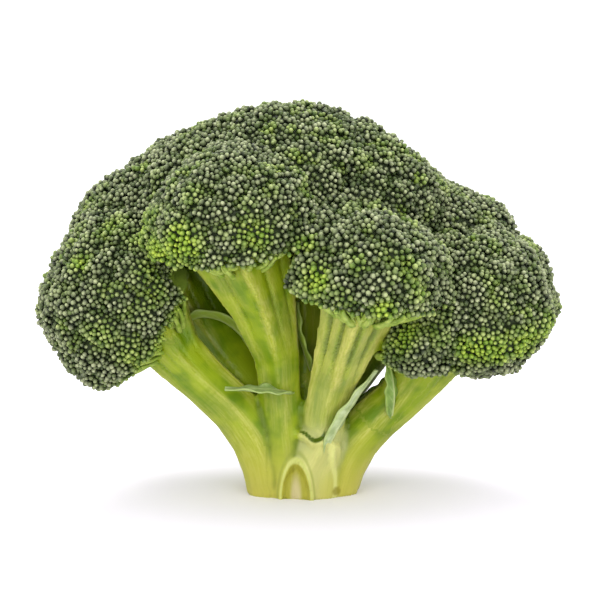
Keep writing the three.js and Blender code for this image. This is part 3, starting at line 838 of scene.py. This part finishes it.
def make_floret_tree():
    """Scatters buds over a skin, and joins them to the core and to a tube along each stalklet line.
    Gives the tree, and the identifier of each of its inputs."""
    tree = bpy.data.node_groups.new("floret", "GeometryNodeTree")
    tree.interface.new_socket("Geometry", in_out="OUTPUT", socket_type="NodeSocketGeometry")
    kinds = {
        "Skin": "Geometry",
        "Bud": "Object",
        "Core": "Object",
        "Stalklets": "Object",
        "Spacing": "Float",
        "Bud radius": "Float",
        "Bud stray": "Float",
        "Seed": "Int",
        "Bud material": "Material",
        "Core material": "Material",
        "Stalklet material": "Material",
    }
    keys = {}
    for name, kind in kinds.items():
        socket = tree.interface.new_socket(name, in_out="INPUT", socket_type="NodeSocket" + kind)
        keys[name] = socket.identifier
    given = add(tree, "NodeGroupInput").outputs

    # Where the buds grow.
    cover = add(tree, "GeometryNodeInputNamedAttribute", {"Name": "cover"}, 0, data_type="FLOAT")
    spots = {
        "Mesh": given["Skin"],
        "Distance Min": given["Spacing"],
        "Density Max": BUD_DENSITY,
        "Density Factor": cover,
        "Seed": given["Seed"],
    }
    spots = add(tree, "GeometryNodeDistributePointsOnFaces", spots, distribute_method="POISSON").outputs

    # How each bud leans and turns, how far it strays from the skin, and how big it has grown.
    lean = {0: (-BUD_LEAN, -BUD_LEAN, 0.0), 1: (BUD_LEAN, BUD_LEAN, math.tau), "Seed": given["Seed"]}
    lean = add(tree, "FunctionNodeRandomValue", lean, 0, data_type="FLOAT_VECTOR")
    lean = add(tree, "FunctionNodeEulerToRotation", {0: lean}, 0)
    lean = {0: spots["Rotation"], 1: lean}
    lean = add(tree, "FunctionNodeRotateRotation", lean, 0, rotation_space="LOCAL")
    stray = {2: -1.0, 3: 1.0, "Seed": STRAY_SEED}
    stray = add(tree, "FunctionNodeRandomValue", stray, 1, data_type="FLOAT")
    stray = add(tree, "ShaderNodeMath", {0: stray, 1: given["Bud stray"]}, 0, operation="MULTIPLY")
    stray = {0: spots["Normal"], "Scale": stray}
    stray = add(tree, "ShaderNodeVectorMath", stray, 0, operation="SCALE")
    spread = {"Geometry": spots["Points"], "Offset": stray}
    spread = add(tree, "GeometryNodeSetPosition", spread, 0)
    growth = {2: BUD_GROWTH[0], 3: BUD_GROWTH[1], "Seed": GROWTH_SEED}
    growth = add(tree, "FunctionNodeRandomValue", growth, 1, data_type="FLOAT")
    growth = add(tree, "ShaderNodeMath", {0: growth, 1: given["Bud radius"]}, 0, operation="MULTIPLY")

    # The buds themselves, each with a number of its own for its colour.
    bud = add(tree, "GeometryNodeObjectInfo", {"Object": given["Bud"]}, "Geometry")
    buds = {"Points": spread, "Instance": bud, "Rotation": lean, "Scale": growth}
    buds = add(tree, "GeometryNodeInstanceOnPoints", buds, 0)
    tone = {2: 0.0, 3: 1.0, "Seed": TONE_SEED}
    tone = add(tree, "FunctionNodeRandomValue", tone, 1, data_type="FLOAT")
    buds = {"Geometry": buds, "Name": "tone", "Value": tone}
    buds = add(tree, "GeometryNodeStoreNamedAttribute", buds, 0, data_type="FLOAT", domain="INSTANCE")
    buds = add(tree, "GeometryNodeRealizeInstances", {"Geometry": buds}, 0)

    # The core, and the stalklets as tubes along their lines.
    core = add(tree, "GeometryNodeObjectInfo", {"Object": given["Core"]}, "Geometry")
    lines = add(tree, "GeometryNodeObjectInfo", {"Object": given["Stalklets"]}, "Geometry")
    lines = add(tree, "GeometryNodeMeshToCurve", {0: lines}, 0)
    thickness = {"Name": "thickness"}
    thickness = add(tree, "GeometryNodeInputNamedAttribute", thickness, 0, data_type="FLOAT")
    ring = {"Resolution": STALKLET_SIDES, "Radius": 1.0}
    ring = add(tree, "GeometryNodeCurvePrimitiveCircle", ring, 0)
    tubes = {"Curve": lines, "Profile Curve": ring, "Scale": thickness, "Fill Caps": True}
    tubes = add(tree, "GeometryNodeCurveToMesh", tubes, 0)
    tubes = add(tree, "GeometryNodeSetShadeSmooth", {"Geometry": tubes}, 0)

    whole = add(tree, "GeometryNodeJoinGeometry")
    for pieces, material in ((tubes, "Stalklet material"), (core, "Core material"), (buds, "Bud material")):
        pieces = {"Geometry": pieces, "Material": given[material]}
        tree.links.new(add(tree, "GeometryNodeSetMaterial", pieces, 0), whole.inputs[0])
    add(tree, "NodeGroupOutput", {0: whole.outputs[0]})
    return tree, keys


def make_material(name, roughness, ior, subsurface=0.0):
    """A material with its gloss, into which some light sinks where subsurface isn't 0."""
    material = bpy.data.materials.new(name)
    material.use_nodes = True
    tree = material.node_tree
    shader = tree.nodes["Principled BSDF"]
    shader.inputs["Roughness"].default_value = roughness
    shader.inputs["IOR"].default_value = ior
    if subsurface:
        shader.inputs["Subsurface Weight"].default_value = subsurface
        # Green light sinks in the deepest, and blue light the least.
        shader.inputs["Subsurface Radius"].default_value = (0.6, 1.0, 0.25)
        shader.inputs["Subsurface Scale"].default_value = LIGHT_DEPTH * MM
    return material, tree, shader


def waxy_bud():
    """Closed flower buds: deep green sepals under a dull grey bloom, yellower where they are young. The
    bloom on the tips is made paler as a painted highlight, the foot of each bud is darkened nearly to
    black as painted shade between the buds, and buds in the furrows between clusters are darker, partly
    for less bloom and partly as painted shade.
    """
    material, tree, shader = make_material("waxy_bud", 0.58, 1.45, 0.06)
    tip, tone, young, raised = (
        add(tree, "ShaderNodeAttribute", out="Fac", attribute_name=name)
        for name in ("tip", "tone", "young", "raised")
    )
    # Only the tips carry the pale grey bloom, made paler than it is as a painted highlight.
    tip = add(tree, "ShaderNodeMapRange", {0: tip, 1: 0.35, 2: 1.0}, **SMOOTHLY)
    # Buds low in the furrows between clusters get deep green without bloom: partly less bloom, partly
    # painted shade.
    raised = add(tree, "ShaderNodeMapRange", {0: raised, 1: 0.1, 2: 0.75}, **SMOOTHLY)
    dusted = add(tree, "ShaderNodeMix", {0: tone, 6: "#4b5a29", 7: "#a0a77e"}, **COLOURED)
    bloom_and_furrow_shade = add(tree, "ShaderNodeMix", {0: raised, 6: "#2e400d", 7: dusted}, **COLOURED)
    # The near-black at the foot of each bud is painted shade in the gaps between the buds, over their deep
    # green.
    old = add(tree, "ShaderNodeMix", {0: tip, 6: "#131e03", 7: bloom_and_furrow_shade}, **COLOURED)
    fresh_tip = add(tree, "ShaderNodeMix", {0: tone, 6: "#6c8c1c", 7: "#a0b53a"}, **COLOURED)
    fresh = add(tree, "ShaderNodeMix", {0: tip, 6: "#3f5c08", 7: fresh_tip}, **COLOURED)
    shade = add(tree, "ShaderNodeMix", {0: young, 6: old, 7: fresh}, **COLOURED)
    tree.links.new(shade, shader.inputs["Base Color"])
    return material


def core_flesh_and_painted_shade():
    """The flesh seen between and under the buds: deep green above, darkened nearly to black as painted
    shade between the buds, and paler on the underside.
    """
    material, tree, shader = make_material("core_flesh_and_painted_shade", 0.6, 1.4)
    place = add(tree, "ShaderNodeTexCoord", out="Object")
    grain = {"Vector": place, "Scale": 1 / (CORE_SPECKS * MM), "Detail": 4.0}
    grain = add(tree, "ShaderNodeTexNoise", grain, "Fac")
    young = add(tree, "ShaderNodeAttribute", out="Fac", attribute_name="young")
    under = add(tree, "ShaderNodeMix", {0: grain, 6: "#5b7420", 7: "#8fa63a"}, **COLOURED)
    # The deep green on top is painted shade between the buds; the underside keeps the flesh's own paler
    # green.
    shade = add(tree, "ShaderNodeMix", {0: young, 6: "#2c3917", 7: under}, **COLOURED)
    tree.links.new(shade, shader.inputs["Base Color"])
    bump = add(tree, "ShaderNodeBump", {"Height": grain, "Strength": 0.6, "Distance": 0.4 * MM}, "Normal")
    tree.links.new(bump, shader.inputs["Normal"])
    return material


def thin_stalk():
    """The thin stalks under the buds: moist pale green flesh."""
    material, tree, shader = make_material("thin_stalk", 0.42, 1.4, 0.1)
    place = add(tree, "ShaderNodeTexCoord", out="Object")
    grain = {"Vector": place, "Scale": 1 / (STALK_SPECKS * MM), "Detail": 3.0}
    grain = add(tree, "ShaderNodeTexNoise", grain, "Fac")
    grain = add(tree, "ShaderNodeMapRange", {0: grain, 1: 0.3, 2: 0.7}, **SMOOTHLY)
    shade = add(tree, "ShaderNodeMix", {0: grain, 6: "#728e26", 7: "#a6b756"}, **COLOURED)
    tree.links.new(shade, shader.inputs["Base Color"])
    return material


def moist_flesh():
    """The peeled-looking skin of the stem: moist yellow-green flesh, paler on ridges and at the foot,
    darker green in the furrows as painted shade, with fibres that run up each branch, a painted line of
    shade over the torn edge, a scar in front, and pale pith on the cut."""
    material, tree, shader = make_material("moist_flesh", 0.42, 1.36, 0.12)
    grain = add(tree, "ShaderNodeAttribute", out="Vector", attribute_name="grain")
    ridge, pale, seam, torn_edge_shade, bruise = (
        add(tree, "ShaderNodeAttribute", out="Fac", attribute_name=name)
        for name in ("ridge", "pale", "seam", "torn_edge_shade", "bruise")
    )
    place = add(tree, "ShaderNodeTexCoord", out="Object")
    axes = add(tree, "ShaderNodeSeparateXYZ", {0: place})
    # The grain is in millimetres, and ten times as long as it is wide.
    streak = {"Vector": grain, "Scale": 1 / FLESH_STREAKS, "Detail": 3.0}
    streak = add(tree, "ShaderNodeTexNoise", streak, "Fac")
    fine = {"Vector": grain, "Scale": 1 / FLESH_FIBRES, "Detail": 4.0}
    fine = add(tree, "ShaderNodeTexNoise", fine, "Fac")
    blotch = {"Vector": place, "Scale": 1 / (FLESH_BLOTCHES * MM), "Detail": 3.0}
    blotch = add(tree, "ShaderNodeTexNoise", blotch, "Fac")

    # Green flesh, and paler fibres over it in streaks and on the ridges.
    streak = add(tree, "ShaderNodeMapRange", {0: streak, 1: 0.35, 2: 0.68}, **SMOOTHLY)
    blotch = add(tree, "ShaderNodeMapRange", {0: blotch, 1: 0.38, 2: 0.62}, **SMOOTHLY)
    fibre = add(tree, "ShaderNodeMapRange", {0: fine, 1: 0.3, 2: 0.7}, **SMOOTHLY)
    deep = add(tree, "ShaderNodeMix", {0: blotch, 6: "#5d7a00", 7: "#84970c"}, **COLOURED)
    light = add(tree, "ShaderNodeMix", {0: fibre, 6: "#959c28", 7: "#b7b65a"}, **COLOURED)
    share = add(tree, "ShaderNodeMath", {0: pale, 1: 0.75, 2: -0.39}, 0, operation="MULTIPLY_ADD")
    share = add(tree, "ShaderNodeMath", {0: streak, 1: 0.62, 2: share}, 0, operation="MULTIPLY_ADD")
    raised = add(tree, "ShaderNodeMath", {0: ridge, 1: 0.5}, 0, operation="SUBTRACT")
    share = {0: raised, 1: 0.9, 2: share}
    share = add(tree, "ShaderNodeMath", share, 0, operation="MULTIPLY_ADD", use_clamp=True)
    skin = add(tree, "ShaderNodeMix", {0: share, 6: deep, 7: light}, **COLOURED)

    # Each tint that goes over the flesh: what it follows, the range in which it comes on, and how far.
    tints = [
        (axes.outputs[2], (26 * MM, 0.0), 0.75, "#b2aa48"),
        # Darker green in the furrows is painted shade.
        (ridge, (0.42, 0.0), 0.75, "#56690a"),
        (pale, (0.5, 0.8), 0.55, "#bfbf80"),
        (seam, (0.0, 1.0), 0.7, "#c9cb7c"),
        # A painted line of shade over the torn edge.
        (torn_edge_shade, (0.2, 0.75), 1.0, "#445804"),
        (bruise, (0.0, 1.0), 0.8, "#7f7806"),
    ]
    for value, (none, full), most, colour in tints:
        tint = add(tree, "ShaderNodeMapRange", {0: value, 1: none, 2: full, 4: most}, **SMOOTHLY)
        skin = add(tree, "ShaderNodeMix", {0: tint, 6: skin, 7: colour}, **COLOURED)

    # The scar: how far a point is from the foot of its arch, over the arch's own reach that way.
    middle, half_width, height = SCAR
    reaches = []
    for across, up in ((half_width, height), (0.5 * half_width, 0.85 * height)):
        scale = (1 / (across * MM), 0.0, 1 / (up * MM))
        spot = {0: place, 1: scale, 2: (-middle / across, 0.0, 0.0)}
        spot = add(tree, "ShaderNodeVectorMath", spot, 0, operation="MULTIPLY_ADD")
        reaches.append(add(tree, "ShaderNodeVectorMath", {0: spot}, "Value", operation="LENGTH"))
    scar, core = reaches
    core = add(tree, "ShaderNodeMapRange", {0: core, 1: 0.35, 2: 0.95}, **SMOOTHLY)
    pith = add(tree, "ShaderNodeMix", {0: fine, 6: "#a99e68", 7: "#c2b888"}, **COLOURED)
    ring = add(tree, "ShaderNodeMix", {0: fine, 6: "#8b8a26", 7: "#a5a138"}, **COLOURED)
    heart = add(tree, "ShaderNodeMix", {0: core, 6: pith, 7: ring}, **COLOURED)
    rim = add(tree, "ShaderNodeMix", {0: fine, 6: "#a3a850", 7: "#bfc370"}, **COLOURED)
    front = add(tree, "ShaderNodeMapRange", {0: axes.outputs[1], 1: -8 * MM, 2: -11 * MM}, **SMOOTHLY)
    # Each band of the scar: where it comes on and goes off again, how far, and its colour.
    bands = [
        ((-1.0, -0.5), (0.98, 0.88), 1.0, heart),
        ((0.9, 0.98), (1.12, 1.03), 1.0, rim),
        ((1.1, 1.18), (1.32, 1.2), 0.5, "#7d8828"),
    ]
    for inner, outer, most, colour in bands:
        band = front
        for (none, full), top in ((inner, 1.0), (outer, most)):
            side = add(tree, "ShaderNodeMapRange", {0: scar, 1: none, 2: full, 4: top}, **SMOOTHLY)
            band = add(tree, "ShaderNodeMath", {0: band, 1: side}, 0, operation="MULTIPLY")
        skin = add(tree, "ShaderNodeMix", {0: band, 6: skin, 7: colour}, **COLOURED)

    # The cut face: pale pith inside a greener ring.
    flat = add(tree, "ShaderNodeVectorMath", {0: place, 1: (1.0, 1.0, 0.0)}, 0, operation="MULTIPLY")
    reach = add(tree, "ShaderNodeVectorMath", {0: flat}, "Value", operation="LENGTH")
    reach = {0: reach, 1: PITH_RADIUS * MM, 2: RING_RADIUS * MM}
    reach = add(tree, "ShaderNodeMapRange", reach, **SMOOTHLY)
    face = add(tree, "ShaderNodeMix", {0: reach, 6: "#d8dca0", 7: "#b5c468"}, **COLOURED)
    cut = add(tree, "ShaderNodeMapRange", {0: axes.outputs[2], 1: 0.12 * MM, 2: 0.02 * MM}, **SMOOTHLY)
    skin = add(tree, "ShaderNodeMix", {0: cut, 6: skin, 7: face}, **COLOURED)
    tree.links.new(skin, shader.inputs["Base Color"])
    bump = add(tree, "ShaderNodeBump", {"Height": fine, "Strength": 0.35, "Distance": 0.35 * MM}, "Normal")
    tree.links.new(bump, shader.inputs["Normal"])
    return material


def waxy_leaf():
    """Small leaves: a waxy blue-green blade, cloudy, and paler along its veins and its edge."""
    material, tree, shader = make_material("waxy_leaf", 0.45, 1.45, 0.05)
    pale, fresh, vein, edge = (
        add(tree, "ShaderNodeAttribute", out="Fac", attribute_name=name)
        for name in ("pale", "fresh", "vein", "edge")
    )
    place = add(tree, "ShaderNodeTexCoord", out="Object")
    blotch = {"Vector": place, "Scale": 1 / (LEAF_CLOUDS * MM), "Detail": 4.0}
    blotch = add(tree, "ShaderNodeTexNoise", blotch, "Fac")
    cloud = add(tree, "ShaderNodeMapRange", {0: blotch, 1: 0.3, 2: 0.7}, **SMOOTHLY)
    edge = add(tree, "ShaderNodeMapRange", {0: edge, 1: 0.75, 2: 1.0, 4: 0.5}, **SMOOTHLY)
    dark = add(tree, "ShaderNodeMix", {0: cloud, 6: "#4d701c", 7: "#6e8e34"}, **COLOURED)
    light = add(tree, "ShaderNodeMix", {0: cloud, 6: "#90a268", 7: "#b6c296"}, **COLOURED)
    blade = add(tree, "ShaderNodeMix", {0: pale, 6: dark, 7: light}, **COLOURED)
    for share, colour in ((fresh, "#8aa226"), (edge, "#9db05c"), (vein, "#b9c484")):
        blade = add(tree, "ShaderNodeMix", {0: share, 6: blade, 7: colour}, **COLOURED)
    tree.links.new(blade, shader.inputs["Base Color"])
    bump = add(tree, "ShaderNodeBump", {"Height": blotch, "Strength": 0.4, "Distance": 0.3 * MM}, "Normal")
    tree.links.new(bump, shader.inputs["Normal"])
    return material


def white_paper():
    """Matt paper, a touch violet, so that it shows a neutral white beside the green."""
    material, _, shader = make_material("white_paper", 0.9, 1.45)
    shader.inputs["Base Color"].default_value = linear("#efebf4")
    return material


# The head put together.


def finished_mesh(source, name):
    """What the modifiers of an object make, as a plain mesh object of its own."""
    bpy.context.view_layer.update()
    graph = bpy.context.evaluated_depsgraph_get()
    mesh = bpy.data.meshes.new_from_object(source.evaluated_get(graph))
    mesh.name = name
    item = bpy.data.objects.new(name, mesh)
    bpy.context.scene.collection.objects.link(item)
    return item


def drop(*items):
    for item in items:
        mesh = item.data
        bpy.data.objects.remove(item)
        bpy.data.meshes.remove(mesh)


def attach(item, node):
    """Lets a piece ride on the body and take the place of its node of the solids."""
    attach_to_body(item, "root")
    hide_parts(node)


bud = make_bud()
bud_material, core_material, stalk_material = waxy_bud(), core_flesh_and_painted_shade(), thin_stalk()
floret_tree, inputs = make_floret_tree()
skin_ways, skin_faces = unit_sphere(SKIN_LEVELS)
core_ways, core_faces = unit_sphere(CORE_LEVELS)

for number, name in enumerate(FLORETS):
    skin = make_skin(name, skin_ways, skin_faces)
    core = make_core(name, core_ways, core_faces)
    stalklets = make_stalklets(name)
    growth = skin.modifiers.new("growth", "NODES")
    growth.node_group = floret_tree
    size = BUD_SIZES.get(name, 1)
    values = {
        "Bud": bud,
        "Core": core,
        "Stalklets": stalklets,
        "Spacing": BUD_SPACING * MM * size,
        "Bud radius": BUD_RADIUS * size,
        "Bud stray": BUD_STRAY * MM,
        "Seed": SEED + number,
        "Bud material": bud_material,
        "Core material": core_material,
        "Stalklet material": stalk_material,
    }
    for key, value in values.items():
        growth[inputs[key]] = value
    floret = finished_mesh(skin, name + "_buds")
    drop(skin, core, stalklets)
    attach(floret, name)
drop(bud)

stem = make_stem()
stem.data.materials.append(moist_flesh())
attach(stem, "stem")

leaf_material = waxy_leaf()
for name in LEAVES:
    leaf = make_leaf(name)
    leaf.data.materials.append(leaf_material)
    attach(leaf, name)

# Camera, floor and light.

# The head fills 520 of the photograph's 600 pixels, and the floor shows as low as in it. That sets
# the camera's height over the floor, the width that it takes in, and where it looks.
CAMERA_DISTANCE = 700
CAMERA_RISE = math.radians(6)
FRAME_WIDTH = 192
SENSOR_WIDTH = 36
LOOK_AT = Vector((-0.64, 0, 61.4 / math.cos(CAMERA_RISE))) * MM
FLOOR = 600  # half the width of the paper that the head stands on
LIGHT_AIM = (0, 0, 60)
# Each soft light's place, width and power.
LIGHTS = {
    "back_top": ((-60, 420, 900), 500, 6.6),
    "front": ((-60, -950, 450), 800, 5),
}
WORLD_STRENGTH = 1.43

scene = bpy.context.scene
camera = bpy.data.objects.new("camera", bpy.data.cameras.new("camera"))
scene.collection.objects.link(camera)
scene.camera = camera
back = Vector((0, -math.cos(CAMERA_RISE), math.sin(CAMERA_RISE)))
camera.location = LOOK_AT + back * CAMERA_DISTANCE * MM
camera.rotation_euler = (-back).to_track_quat("-Z", "Y").to_euler()
camera.data.sensor_width = SENSOR_WIDTH
camera.data.lens = SENSOR_WIDTH * CAMERA_DISTANCE / FRAME_WIDTH
camera.data.clip_start = 0.01
camera.data.clip_end = 20

corners = np.array([(-1, -1, 0), (1, -1, 0), (1, 1, 0), (-1, 1, 0)])
floor = new_mesh("floor", corners * FLOOR, [[0, 1, 2, 3]])
floor.data.materials.append(white_paper())

for name, (place, width, power) in LIGHTS.items():
    light = bpy.data.lights.new(name, "AREA")
    light.size = width * MM
    light.energy = power
    lamp = bpy.data.objects.new(name, light)
    scene.collection.objects.link(lamp)
    lamp.location = Vector(place) * MM
    aim = Vector(LIGHT_AIM) * MM - lamp.location
    lamp.rotation_euler = aim.to_track_quat("-Z", "Y").to_euler()

world = bpy.data.worlds.new("studio")
scene.world = world
world.use_nodes = True
studio = world.node_tree.nodes["Background"]
studio.inputs["Color"].default_value = (1, 1, 1, 1)
studio.inputs["Strength"].default_value = WORLD_STRENGTH
scene.view_settings.view_transform = "Standard"
